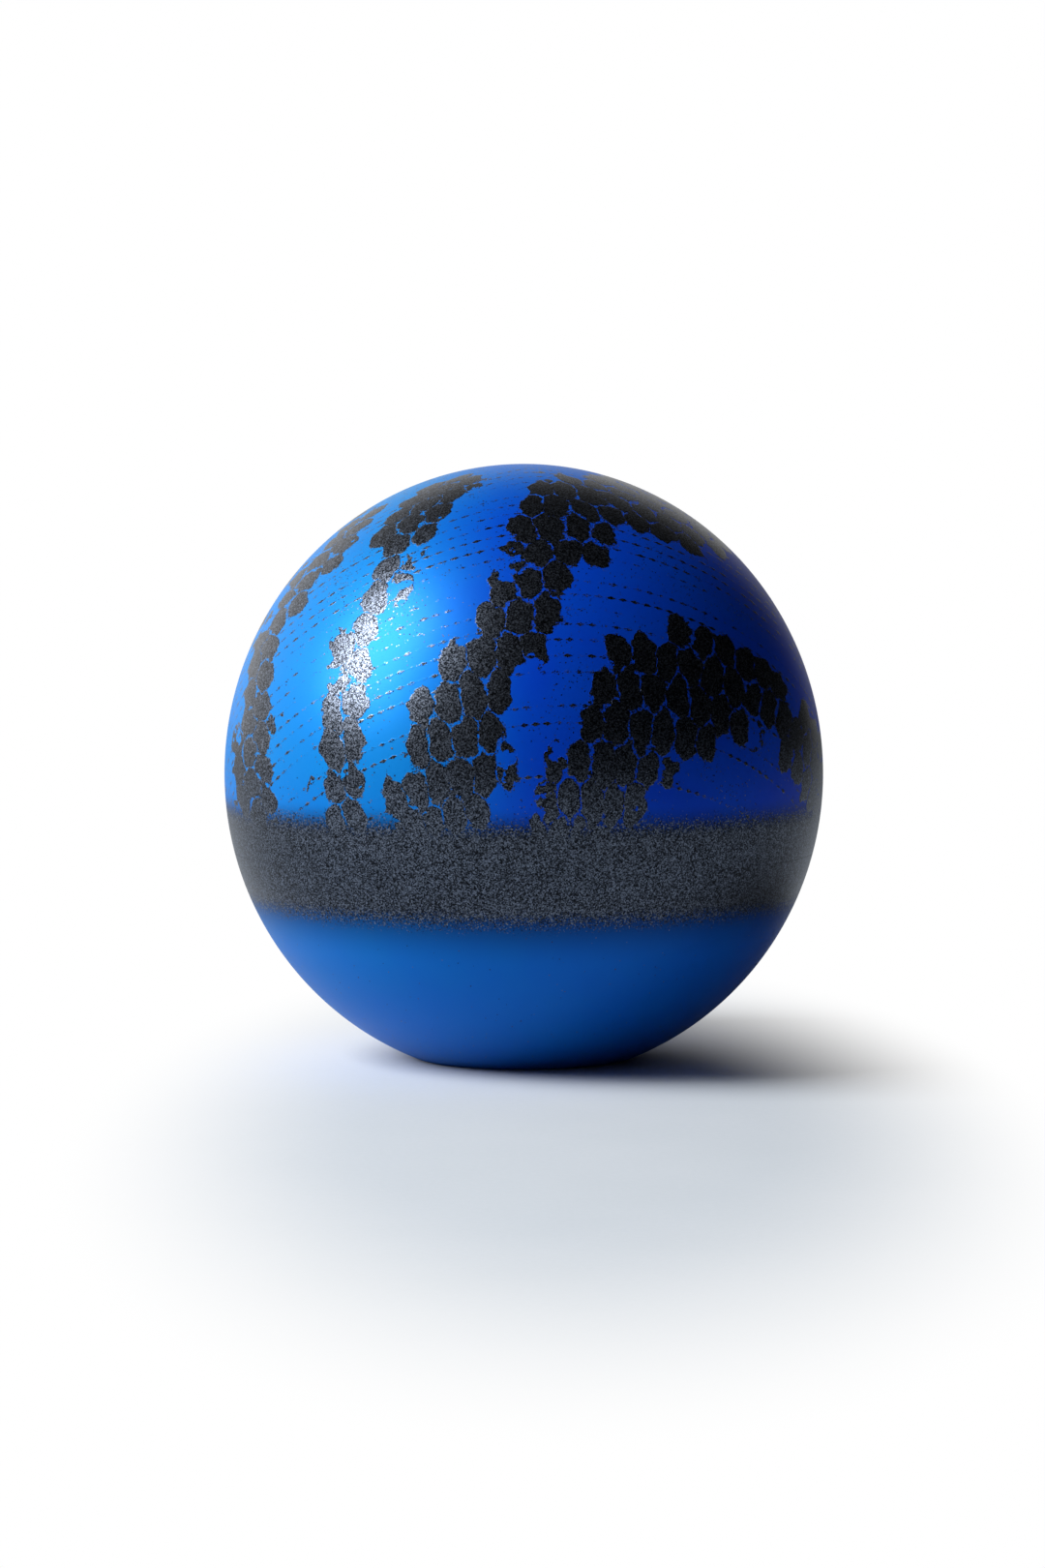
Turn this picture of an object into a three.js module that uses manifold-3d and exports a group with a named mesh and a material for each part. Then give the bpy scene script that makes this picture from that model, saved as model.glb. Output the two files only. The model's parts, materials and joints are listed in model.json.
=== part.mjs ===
// A ball-shaped yo-yo that winds its own string back in. A painted plastic ball stands on a small
// flat foot. Inside it, a reel with a spiral spring turns on a ball bearing, in a frame screwed to
// the floor of a well that opens through the foot. The string would come off the reel's side, and
// leave the ball on its centre line by an eyelet in that floor.
//
// Units are millimetres. +Z is up, the origin is the centre of the foot, and the reel's axle lies
// along X. Pieces that touch are drawn a little apart.
import * as THREE from "three";
import { mergeVertices } from "three/addons/utils/BufferGeometryUtils.js";
import Module from "manifold-3d";

const wasm = await Module();
wasm.setup();

// ---- Driving dimensions ----

// Ball: two half-ellipsoids that share one widest circle, cut flat at the foot.
const BALL_RADIUS = 30;
const DOME_RISE = 31;
const BOWL_DROP = 30.6;
const FOOT_RADIUS = 11;
const WALL = 2.4;
const SEAM_DROP = 7.7; // how far the seam lies below the widest circle
const SEAM_GAP = 0.1;
const FIT_GAP = 0.3; // between pieces that are glued, pressed or rest on each other

// Well: the round recess in the foot.
const WELL_RADIUS = 8.6;
const WELL_DEPTH = 7.5;
const WELL_FLOOR = 2.2;
const WELL_BEVEL = 0.7;

// Reel: turns about the axle, on a bearing at one end and a bush at the other. The axle lies to one
// side of the ball's centre line, so that the string runs nearly straight down to the eyelet.
const AXLE_HEIGHT = 28.5;
const AXLE_OFFSET = 8;
const AXLE_RADIUS = 2;
const FLANGE_RADIUS = 15;
const CORE_RADIUS = 11;
const GROOVE_WIDTH = 4.5;
const SPRING_ROOM_RADIUS = 9.9;
const CHEEK_INNER = 11.5; // from the reel's middle to each cheek of the frame
const CHEEK_THICKNESS = 2.5;

// Ball bearing of the size that yo-yos use: 1/4 x 1/2 x 3/16 inch.
const BEARING_BORE_RADIUS = 3.175;
const BEARING_OUTER_RADIUS = 6.35;
const BEARING_WIDTH = 4.76;
const BEARING_BALLS = 8;
const BEARING_BALL_RADIUS = 1.1;
const RACE_GAP = 0.12; // between a ball and its grooves

// Screws: core radii, with the holes that they run in.
const SCREW_RADIUS = 1;
const SCREW_HOLE_RADIUS = 1.15;
const SMALL_SCREW_RADIUS = 0.7;
const SMALL_SCREW_HOLE_RADIUS = 0.85;

// How finely round pieces are cut.
const BALL_SIDES = 36;
const REEL_SIDES = 28;
const SHAFT_SIDES = 16;
const SCREW_SIDES = 8;

// ---- Values that follow from them ----

const WIDEST_HEIGHT = BOWL_DROP * Math.sqrt(1 - (FOOT_RADIUS / BALL_RADIUS) ** 2);
const SEAM_HEIGHT = WIDEST_HEIGHT - SEAM_DROP;
const WELL_FLOOR_TOP = WELL_DEPTH + WELL_FLOOR;
const BEARING_PITCH_RADIUS = (BEARING_BORE_RADIUS + BEARING_OUTER_RADIUS) / 2;
const GROOVE_RADIUS = BEARING_BALL_RADIUS + RACE_GAP;

// ---- Materials ----

function finish(color, roughness, metalness) {
  return new THREE.MeshStandardMaterial({ color, roughness, metalness });
}

const blueShell = finish(0x0a55b4, 0.4, 0.3);
const blackPlastic = finish(0x1c1d20, 0.55, 0);
const whitePlastic = finish(0xd9d8d2, 0.5, 0);
const steel = finish(0x9a9da1, 0.3, 1);
const springSteel = finish(0x55606c, 0.35, 1);
const bearingSteel = finish(0xb9bcc0, 0.18, 1);
const brass = finish(0xc79a4b, 0.3, 1);
const bronze = finish(0x9c6b3a, 0.4, 1);

// ---- Shape helpers ----

const at = (radius, height) => new THREE.Vector2(radius, height);

// A solid turned about Z from an outline that starts and ends on the axis.
function turned(outline, sides) {
  return new THREE.LatheGeometry(outline, sides).rotateX(Math.PI / 2);
}

// A ring turned about Z from an outline that stays off the axis.
function turnedRing(outline, sides) {
  return turned([...outline, outline[0]], sides);
}

// A plain ring of rectangular section.
function plainRing(inner, outer, bottom, top, sides) {
  return turnedRing([at(inner, bottom), at(outer, bottom), at(outer, top), at(inner, top)], sides);
}

function rod(radius, bottom, top, sides) {
  return turned([at(0, bottom), at(radius, bottom), at(radius, top), at(0, top)], sides);
}

function solidOf(geometry) {
  const bare = geometry.clone();
  bare.deleteAttribute("normal");
  bare.deleteAttribute("uv");
  const merged = mergeVertices(bare, 1e-4);
  return new wasm.Manifold(
    new wasm.Mesh({
      numProp: 3,
      vertProperties: merged.attributes.position.array,
      triVerts: new Uint32Array(merged.index.array),
    }),
  );
}

// A body with other shapes joined to it, and then others cut out of it.
function shaped(body, { joined = [], cut = [] }) {
  let solid = solidOf(body);
  for (const shape of joined) solid = solid.add(solidOf(shape));
  for (const shape of cut) solid = solid.subtract(solidOf(shape));
  const mesh = solid.getMesh();
  const geometry = new THREE.BufferGeometry();
  geometry.setAttribute("position", new THREE.BufferAttribute(mesh.vertProperties, 3));
  geometry.setIndex(new THREE.BufferAttribute(mesh.triVerts, 1));
  geometry.computeVertexNormals();
  return geometry;
}

function piece(name, geometry, material) {
  const mesh = new THREE.Mesh(geometry, material);
  mesh.name = name;
  return mesh;
}

// The (x, y) places of count things spaced evenly on a circle.
function aroundCircle(count, radius, firstAngle = 0) {
  return Array.from({ length: count }, (_, i) => {
    const angle = firstAngle + (2 * Math.PI * i) / count;
    return { x: radius * Math.cos(angle), y: radius * Math.sin(angle), angle };
  });
}

// ---- The ball's outline ----

function ballRise(above, inset) {
  return (above ? DOME_RISE : BOWL_DROP) - inset;
}

function angleAt(height, inset) {
  const up = height - WIDEST_HEIGHT;
  return Math.asin(Math.max(-1, Math.min(1, up / ballRise(up > 0, inset))));
}

// Points on the ball's outline, moved inwards by inset, from one height to another.
function ballArc(inset, fromHeight, toHeight, steps) {
  const from = angleAt(fromHeight, inset);
  const to = angleAt(toHeight, inset);
  return Array.from({ length: steps + 1 }, (_, i) => {
    const angle = from + ((to - from) * i) / steps;
    const up = ballRise(angle > 0, inset) * Math.sin(angle);
    return at((BALL_RADIUS - inset) * Math.cos(angle), WIDEST_HEIGHT + up);
  });
}

// ---- Shells ----

const SEAT_RADIUS = 26; // round land inside both shells, for the coupling ring
const SEAT_REACH = 3.8; // how far it runs from the seam into each shell
const DOME_TOP = WIDEST_HEIGHT + DOME_RISE;

function upperShell() {
  const rim = SEAM_HEIGHT + SEAM_GAP / 2;
  const seatTop = SEAM_HEIGHT + SEAT_REACH;
  const outline = [
    ...ballArc(WALL, DOME_TOP, seatTop, 9),
    at(SEAT_RADIUS, seatTop),
    at(SEAT_RADIUS, rim),
    ...ballArc(0, rim, DOME_TOP, 14),
  ];
  return turned(outline, BALL_SIDES);
}

const EYELET_HOLE_RADIUS = 2.6;
const FRAME_SCREWS = aroundCircle(3, 6.2, Math.PI / 2);

// The bowl, with the foot, the well and the screw holes in the well's floor.
function lowerShell() {
  const rim = SEAM_HEIGHT - SEAM_GAP / 2;
  const seatBottom = SEAM_HEIGHT - SEAT_REACH;
  const wellWall = WELL_RADIUS + WALL;
  const inside = ballArc(WALL, seatBottom, WELL_BEVEL + WALL, 8);
  const outline = [
    at(EYELET_HOLE_RADIUS, WELL_DEPTH),
    at(WELL_RADIUS, WELL_DEPTH),
    at(WELL_RADIUS, WELL_BEVEL),
    at(WELL_RADIUS + WELL_BEVEL, 0),
    ...ballArc(0, 0, rim, 9),
    at(SEAT_RADIUS, rim),
    at(SEAT_RADIUS, seatBottom),
    ...inside.filter((point) => point.x > wellWall + 0.5),
    at(wellWall, WELL_BEVEL + WALL),
    at(wellWall, WELL_FLOOR_TOP),
    at(EYELET_HOLE_RADIUS, WELL_FLOOR_TOP),
  ];
  const holes = FRAME_SCREWS.map(({ x, y }) =>
    rod(SCREW_HOLE_RADIUS, WELL_DEPTH - 1, WELL_FLOOR_TOP + 1, SCREW_SIDES).translate(x, y, 0),
  );
  return shaped(turnedRing(outline, BALL_SIDES), { cut: holes });
}

// The ring that both shells are glued to, behind the seam.
function couplingRing() {
  const reach = SEAT_REACH - FIT_GAP;
  const outer = SEAT_RADIUS - FIT_GAP;
  return plainRing(outer - 1.7, outer, SEAM_HEIGHT - reach, SEAM_HEIGHT + reach, BALL_SIDES);
}

// The metal eyelet that guides the string through the well's floor.
function stringEyelet() {
  const throat = 1.3;
  const tube = EYELET_HOLE_RADIUS - 0.2;
  const lip = 3.7;
  const lipHeight = 0.9;
  const bottom = WELL_DEPTH - lipHeight;
  const top = WELL_FLOOR_TOP + lipHeight;
  return turnedRing(
    [
      at(throat + 1, bottom),
      at(lip - 0.3, bottom),
      at(lip, bottom + 0.3),
      at(lip, WELL_DEPTH - 0.1),
      at(tube, WELL_DEPTH - 0.1),
      at(tube, WELL_FLOOR_TOP + 0.1),
      at(lip, WELL_FLOOR_TOP + 0.1),
      at(lip, top - 0.3),
      at(lip - 0.3, top),
      at(throat + 1, top),
      at(throat + 0.3, top - 0.6),
      at(throat, top - 1.2),
      at(throat, bottom + 1.2),
      at(throat + 0.3, bottom + 0.6),
    ],
    SHAFT_SIDES,
  );
}

// A pan-head screw that points up, with its head's top at z = 0 and its shank above it.
function screw(shank, head, headHeight, length) {
  const slot = new THREE.BoxGeometry(head * 1.5, head * 0.32, headHeight * 0.8);
  const tip = shank * 0.4;
  const body = turned(
    [
      at(0, 0),
      at(head * 0.7, 0),
      at(head, headHeight * 0.45),
      at(head, headHeight),
      at(shank, headHeight),
      at(shank, headHeight + length - tip),
      at(tip, headHeight + length),
      at(0, headHeight + length),
    ],
    SCREW_SIDES,
  );
  return shaped(body, { cut: [slot] });
}

// ---- Reel frame ----

const FRAME_BASE_BOTTOM = WELL_FLOOR_TOP + FIT_GAP;
const FRAME_BASE_TOP = FRAME_BASE_BOTTOM + 2.4;
const CHEEK_SINK = 1; // how far a cheek's foot runs into the frame's base
const CHEEK_FOOT_HEIGHT = 3;
const FRAME_BASE_RADIUS = 18.5;
const FRAME_HOLE_RADIUS = 4.4; // clears the eyelet and lets the string through
const WEIGHT_SCREW_REACH = 15; // from the centre line to the balance weight's screw
const CHEEK_TOP_RADIUS = 5.5;
const CHEEK_FOOT_HALF = 9;
const FLAT_DEPTH = 0.5; // of the flats that stop the axle turning in the cheeks

// A D-shaped hole or rod end: a circle of this radius with one side cut flat, as a closed path.
function flattened(PathType, radius) {
  const path = new PathType();
  const corner = Math.acos((radius - FLAT_DEPTH) / radius);
  path.absarc(0, 0, radius, corner, 2 * Math.PI - corner, false);
  path.closePath();
  return path;
}

// One cheek, drawn with the axle at the origin and the shape's +X pointing down in the ball. It
// leans from a foot on the ball's centre line to the axle.
function cheekShape() {
  const down = AXLE_HEIGHT - FRAME_BASE_BOTTOM - CHEEK_SINK;
  const near = CHEEK_FOOT_HALF - AXLE_OFFSET;
  const far = -CHEEK_FOOT_HALF - AXLE_OFFSET;
  const shape = new THREE.Shape();
  shape.moveTo(down, far);
  shape.lineTo(down, near);
  shape.lineTo(down - CHEEK_FOOT_HEIGHT, near);
  shape.lineTo(0, CHEEK_TOP_RADIUS);
  shape.absarc(0, 0, CHEEK_TOP_RADIUS, Math.PI / 2, (3 * Math.PI) / 2, false);
  shape.lineTo(down - CHEEK_FOOT_HEIGHT, far);
  shape.closePath();
  shape.holes.push(flattened(THREE.Path, AXLE_RADIUS + 0.15));
  return shape;
}

function cheek(start) {
  return new THREE.ExtrudeGeometry(cheekShape(), {
    depth: CHEEK_THICKNESS,
    bevelEnabled: false,
    curveSegments: 12,
  })
    .translate(0, 0, start)
    .rotateY(Math.PI / 2)
    .translate(0, AXLE_OFFSET, AXLE_HEIGHT);
}

function reelFrame() {
  const base = plainRing(FRAME_HOLE_RADIUS, FRAME_BASE_RADIUS, FRAME_BASE_BOTTOM, FRAME_BASE_TOP, REEL_SIDES);
  const places = [...FRAME_SCREWS, { x: 0, y: -WEIGHT_SCREW_REACH }];
  const holes = places.map(({ x, y }) =>
    rod(SCREW_HOLE_RADIUS, FRAME_BASE_BOTTOM - 1, FRAME_BASE_TOP + 1, SCREW_SIDES).translate(x, y, 0),
  );
  return shaped(base, { joined: [cheek(CHEEK_INNER), cheek(-CHEEK_INNER - CHEEK_THICKNESS)], cut: holes });
}

const WEIGHT_HEIGHT = 12;

// A steel block across from the reel, as a sector of a ring. It brings the ball's centre of mass
// back to the centre line, so that the ball hangs straight on its string.
function balanceWeight() {
  const inner = 12;
  const outer = 18;
  const halfSpread = 0.61; // in radians
  const bottom = FRAME_BASE_TOP + FIT_GAP;
  const sector = new THREE.Shape();
  sector.absarc(0, 0, outer, -Math.PI / 2 - halfSpread, -Math.PI / 2 + halfSpread, false);
  sector.absarc(0, 0, inner, -Math.PI / 2 + halfSpread, -Math.PI / 2 - halfSpread, true);
  sector.closePath();
  const block = new THREE.ExtrudeGeometry(sector, {
    depth: WEIGHT_HEIGHT,
    bevelEnabled: false,
    curveSegments: 8,
  });
  const hole = rod(SCREW_HOLE_RADIUS, bottom - 1, bottom + 4.5, SCREW_SIDES);
  return shaped(block.translate(0, 0, bottom), { cut: [hole.translate(0, -WEIGHT_SCREW_REACH, 0)] });
}

// ---- Axle and what is fixed to it, all turned about local Z ----

const CLIP_START = CHEEK_INNER + CHEEK_THICKNESS + 0.4;
const CLIP_THICKNESS = 0.6;
const CLIP_GROOVE_RADIUS = 1.4;
const AXLE_HALF = CLIP_START + CLIP_THICKNESS + 1.2;

function axle() {
  const grooveStart = CLIP_START - 0.1;
  const grooveEnd = CLIP_START + CLIP_THICKNESS + 0.1;
  const half = [
    at(AXLE_RADIUS, grooveStart),
    at(CLIP_GROOVE_RADIUS, grooveStart),
    at(CLIP_GROOVE_RADIUS, grooveEnd),
    at(AXLE_RADIUS, grooveEnd),
    at(AXLE_RADIUS, AXLE_HALF - 0.4),
    at(AXLE_RADIUS - 0.4, AXLE_HALF),
    at(0, AXLE_HALF),
  ];
  const mirrored = half.map(({ x, y }) => at(x, -y)).reverse();
  const flatLength = AXLE_HALF - CHEEK_INNER + 1;
  const flats = [-1, 1].map((side) =>
    new THREE.BoxGeometry(2, 3 * AXLE_RADIUS, flatLength).translate(
      AXLE_RADIUS - FLAT_DEPTH + 1,
      0,
      side * (AXLE_HALF - flatLength / 2 + 0.5),
    ),
  );
  return shaped(turned([...mirrored, ...half], SHAFT_SIDES), { cut: flats });
}

// An E-clip, as a flat open ring in the axle's groove.
function axleClip(start) {
  const inner = CLIP_GROOVE_RADIUS + 0.15;
  const outer = 3.3;
  const opening = 0.45; // half the mouth's angle, in radians
  const shape = new THREE.Shape();
  shape.absarc(0, 0, outer, opening, 2 * Math.PI - opening, false);
  shape.absarc(0, 0, inner, 2 * Math.PI - opening * 1.6, opening * 1.6, true);
  shape.closePath();
  return new THREE.ExtrudeGeometry(shape, {
    depth: CLIP_THICKNESS,
    bevelEnabled: false,
    curveSegments: 12,
  }).translate(0, 0, start);
}

const SLEEVE_BORE_RADIUS = AXLE_RADIUS + 0.12;
const BEARING_MIDDLE = -7.6;
const ARBOR_RADIUS = 3.9;
const ARBOR_START = -3.3;
const ARBOR_END = 4.3;
const SPRING_HALF_WIDTH = 3.1;
const SPRING_THICKNESS = 0.3;
const ARBOR_SLOT = 1.2;

// The sleeve that fills the bearing's bore.
function bearingSpacer() {
  const reach = BEARING_WIDTH / 2 + 0.5;
  return plainRing(
    SLEEVE_BORE_RADIUS,
    BEARING_BORE_RADIUS - 0.1,
    BEARING_MIDDLE - reach,
    BEARING_MIDDLE + reach,
    SHAFT_SIDES,
  );
}

// The fixed core that holds the spring's inner end in a slot.
function springArbor() {
  const slotEnd = SPRING_HALF_WIDTH + 0.3;
  const slotLength = slotEnd - ARBOR_START + 1;
  const slot = new THREE.BoxGeometry(3 * ARBOR_RADIUS, ARBOR_SLOT, slotLength);
  return shaped(plainRing(SLEEVE_BORE_RADIUS, ARBOR_RADIUS, ARBOR_START, ARBOR_END, SHAFT_SIDES), {
    cut: [slot.translate(0, 0, slotEnd - slotLength / 2)],
  });
}

// ---- Ball bearing ----

// Points of a race's groove, centred on the bearing's middle, from one shoulder to the other.
// side is 1 for a groove in the inner race and -1 for one in the outer race.
function grooveArc(shoulderRadius, side) {
  const depth = side * (BEARING_PITCH_RADIUS - shoulderRadius);
  const edge = Math.acos(depth / GROOVE_RADIUS);
  const steps = 4;
  return Array.from({ length: steps + 1 }, (_, i) => {
    const angle = -edge + (2 * edge * i) / steps;
    return at(
      BEARING_PITCH_RADIUS - side * GROOVE_RADIUS * Math.cos(angle),
      BEARING_MIDDLE + GROOVE_RADIUS * Math.sin(angle),
    );
  });
}

const INNER_SHOULDER = 4;
const OUTER_SHOULDER = 5.5;
const SHIELD_INSET = 0.35; // from the bearing's face to the shield's outer face
const SHIELD_THICKNESS = 0.2;
const SHIELD_SEAT_RADIUS = 6;

function bearingInnerRace() {
  const half = BEARING_WIDTH / 2;
  const outline = [
    at(BEARING_BORE_RADIUS, BEARING_MIDDLE + half),
    at(BEARING_BORE_RADIUS, BEARING_MIDDLE - half),
    at(INNER_SHOULDER, BEARING_MIDDLE - half),
    ...grooveArc(INNER_SHOULDER, 1),
    at(INNER_SHOULDER, BEARING_MIDDLE + half),
  ];
  return turnedRing(outline, REEL_SIDES);
}

function bearingOuterRace() {
  const half = BEARING_WIDTH / 2;
  const seat = half - SHIELD_INSET - SHIELD_THICKNESS - 0.1;
  const outline = [
    at(BEARING_OUTER_RADIUS, BEARING_MIDDLE - half),
    at(BEARING_OUTER_RADIUS, BEARING_MIDDLE + half),
    at(SHIELD_SEAT_RADIUS, BEARING_MIDDLE + half),
    at(SHIELD_SEAT_RADIUS, BEARING_MIDDLE + seat),
    at(OUTER_SHOULDER, BEARING_MIDDLE + seat),
    ...grooveArc(OUTER_SHOULDER, -1).reverse(),
    at(OUTER_SHOULDER, BEARING_MIDDLE - seat),
    at(SHIELD_SEAT_RADIUS, BEARING_MIDDLE - seat),
    at(SHIELD_SEAT_RADIUS, BEARING_MIDDLE - half),
  ];
  return turnedRing(outline, REEL_SIDES);
}

function bearingShield(side) {
  const outerFace = BEARING_MIDDLE + side * (BEARING_WIDTH / 2 - SHIELD_INSET);
  const innerFace = outerFace - side * SHIELD_THICKNESS;
  const [bottom, top] = [outerFace, innerFace].sort((a, b) => a - b);
  return plainRing(INNER_SHOULDER + 0.2, SHIELD_SEAT_RADIUS - 0.12, bottom, top, REEL_SIDES);
}

function bearingBall({ x, y }) {
  return new THREE.SphereGeometry(BEARING_BALL_RADIUS, 10, 6).translate(x, y, BEARING_MIDDLE);
}

// A crown cage: a ring beside the balls, with a post between each two.
function bearingCage() {
  const inner = INNER_SHOULDER + 0.3;
  const outer = OUTER_SHOULDER - 0.3;
  const ringStart = BEARING_MIDDLE + BEARING_BALL_RADIUS + 0.15;
  const ring = plainRing(inner, outer, ringStart, ringStart + 0.4, REEL_SIDES);
  const postLength = 1.8;
  const places = aroundCircle(BEARING_BALLS, (inner + outer) / 2, Math.PI / BEARING_BALLS);
  const posts = places.map(({ x, y, angle }) =>
    new THREE.BoxGeometry((outer - inner) * 0.7, 0.8, postLength)
      .rotateZ(angle)
      .translate(x, y, ringStart + 0.2 - postLength / 2),
  );
  return shaped(ring, { joined: posts });
}

// ---- Reel, all turned about local Z ----

const WEB_THICKNESS = 1.4;
const SPRING_ROOM_START = -3.6;
const THIN_FLANGE = 1.2;
const THICK_FLANGE = 2.2;
const HUB_OUTER_RADIUS = 8.2;
const HUB_START = -10.2;
const COVER_START = GROOVE_WIDTH / 2 + THICK_FLANGE + 0.15;
const COVER_THICKNESS = 1.2;
const COVER_HUB_RADIUS = 5;
const COVER_HUB_END = 9.9;
const COVER_BORE_RADIUS = 3.2;
const COVER_SCREWS = aroundCircle(3, 12.6, Math.PI / 6);
const SPRING_NOTCH_ANGLE = Math.PI / 2;
const SPRING_NOTCH_DEPTH = 0.9;

// The spool: string groove outside, spring room inside, bearing pocket in the hub.
function spool() {
  const groove = GROOVE_WIDTH / 2;
  const webStart = SPRING_ROOM_START - WEB_THICKNESS;
  const pocket = BEARING_OUTER_RADIUS + 0.15;
  const webHole = ARBOR_RADIUS + 0.5;
  const chamfer = 0.6;
  const rimBevel = 0.4;
  const outline = [
    at(webHole, SPRING_ROOM_START),
    at(webHole, webStart),
    at(pocket, webStart),
    at(pocket, HUB_START),
    at(HUB_OUTER_RADIUS, HUB_START),
    at(HUB_OUTER_RADIUS, webStart),
    at(CORE_RADIUS - chamfer, webStart),
    at(CORE_RADIUS, webStart + chamfer),
    at(CORE_RADIUS, -groove - THIN_FLANGE),
    at(FLANGE_RADIUS - rimBevel, -groove - THIN_FLANGE),
    at(FLANGE_RADIUS, -groove - THIN_FLANGE / 2),
    at(FLANGE_RADIUS - rimBevel, -groove),
    at(CORE_RADIUS, -groove),
    at(CORE_RADIUS, groove),
    at(FLANGE_RADIUS - rimBevel, groove),
    at(FLANGE_RADIUS, groove + THIN_FLANGE / 2),
    at(FLANGE_RADIUS, groove + THICK_FLANGE),
    at(SPRING_ROOM_RADIUS, groove + THICK_FLANGE),
    at(SPRING_ROOM_RADIUS, SPRING_ROOM_START),
  ];
  const screwHoles = COVER_SCREWS.map(({ x, y }) =>
    rod(SMALL_SCREW_HOLE_RADIUS, groove + 0.4, groove + THICK_FLANGE + 1, SCREW_SIDES).translate(x, y, 0),
  );
  const stringHole = rod(0.7, -groove - THIN_FLANGE - 1, -groove + 1, SCREW_SIDES);
  stringHole.translate(CORE_RADIUS + 1.2, 0, 0);
  const notchLength = SPRING_NOTCH_DEPTH + 1;
  const notch = new THREE.BoxGeometry(notchLength, 1.2, 2 * SPRING_HALF_WIDTH + 0.6)
    .translate(SPRING_ROOM_RADIUS + SPRING_NOTCH_DEPTH - notchLength / 2, 0, 0)
    .rotateZ(SPRING_NOTCH_ANGLE);
  return shaped(turnedRing(outline, REEL_SIDES), { cut: [...screwHoles, stringHole, notch] });
}

// The lid over the spring, with the hub that holds the bush.
function springCover() {
  const edge = FLANGE_RADIUS - 0.5;
  const bevel = 0.3;
  const coverEnd = COVER_START + COVER_THICKNESS;
  const outline = [
    at(COVER_BORE_RADIUS, COVER_START),
    at(edge, COVER_START),
    at(edge, coverEnd - bevel),
    at(edge - bevel, coverEnd),
    at(COVER_HUB_RADIUS + 1, coverEnd),
    at(COVER_HUB_RADIUS, coverEnd + 0.8),
    at(COVER_HUB_RADIUS, COVER_HUB_END),
    at(COVER_BORE_RADIUS, COVER_HUB_END),
  ];
  const holes = COVER_SCREWS.map(({ x, y }) =>
    rod(SMALL_SCREW_HOLE_RADIUS, COVER_START - 1, coverEnd + 1, SCREW_SIDES).translate(x, y, 0),
  );
  return shaped(turnedRing(outline, REEL_SIDES), { cut: holes });
}

// The flanged bush that runs on the axle, pressed into the cover's hub.
function reelBush() {
  const bore = AXLE_RADIUS + 0.15;
  const shank = COVER_BORE_RADIUS - 0.15;
  const flange = shank + 1.25;
  const start = COVER_START + 0.3;
  const flangeStart = COVER_HUB_END + 0.2;
  const end = flangeStart + 0.7;
  const outline = [
    at(bore, start),
    at(shank, start),
    at(shank, flangeStart),
    at(flange, flangeStart),
    at(flange, end),
    at(bore, end),
  ];
  return turnedRing(outline, SHAFT_SIDES);
}

// The spiral strip. Its inner end is bent into the arbor's slot and its outer end into the notch.
function returnSpring() {
  const turns = 7.25;
  const stepsPerTurn = 16;
  const innerRadius = ARBOR_RADIUS + 0.55;
  const outerRadius = SPRING_ROOM_RADIUS - 0.55;
  const steps = Math.round(turns * stepsPerTurn);
  const half = SPRING_THICKNESS / 2;
  const edge = (offset) =>
    Array.from({ length: steps + 1 }, (_, i) => {
      const angle = SPRING_NOTCH_ANGLE - 2 * Math.PI * turns * (1 - i / steps);
      const radius = innerRadius + ((outerRadius - innerRadius) * i) / steps + offset;
      return at(radius * Math.cos(angle), radius * Math.sin(angle));
    });
  const tabEnd = SPRING_ROOM_RADIUS + SPRING_NOTCH_DEPTH - 0.3;
  const outerTab = [at(0, tabEnd), at(-SPRING_THICKNESS, tabEnd), at(-SPRING_THICKNESS, outerRadius - half)];
  const tabStart = AXLE_RADIUS + 0.6;
  const innerTab = [
    at(tabStart, 0),
    at(tabStart, -SPRING_THICKNESS),
    at(innerRadius + half, -SPRING_THICKNESS),
  ];
  const outer = edge(half);
  const inner = edge(-half).reverse();
  const shape = new THREE.Shape([...outer, ...outerTab, ...inner, ...innerTab]);
  return new THREE.ExtrudeGeometry(shape, { depth: 2 * SPRING_HALF_WIDTH, bevelEnabled: false }).translate(
    0,
    0,
    -SPRING_HALF_WIDTH,
  );
}

// ---- Assembly ----

const ball = new THREE.Group();
ball.add(
  piece("upper_shell", upperShell(), blueShell),
  piece("lower_shell", lowerShell(), blueShell),
  piece("coupling_ring", couplingRing(), blackPlastic),
  piece("string_eyelet", stringEyelet(), brass),
  piece("balance_weight", balanceWeight(), steel),
  piece("reel_frame", reelFrame(), blackPlastic),
);

const weightScrewHead = 1.3;
const weightScrew = piece("weight_screw", screw(SCREW_RADIUS, 2, weightScrewHead, 6.4), steel);
weightScrew.position.set(0, -WEIGHT_SCREW_REACH, FRAME_BASE_BOTTOM - weightScrewHead - 0.1);
ball.add(weightScrew);

const frameScrewHead = 1.2;
FRAME_SCREWS.forEach(({ x, y }, i) => {
  const frameScrew = piece(`frame_screw_${i + 1}`, screw(SCREW_RADIUS, 1.7, frameScrewHead, 4.6), steel);
  frameScrew.position.set(x, y, WELL_DEPTH - frameScrewHead - 0.1);
  ball.add(frameScrew);
});

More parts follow.
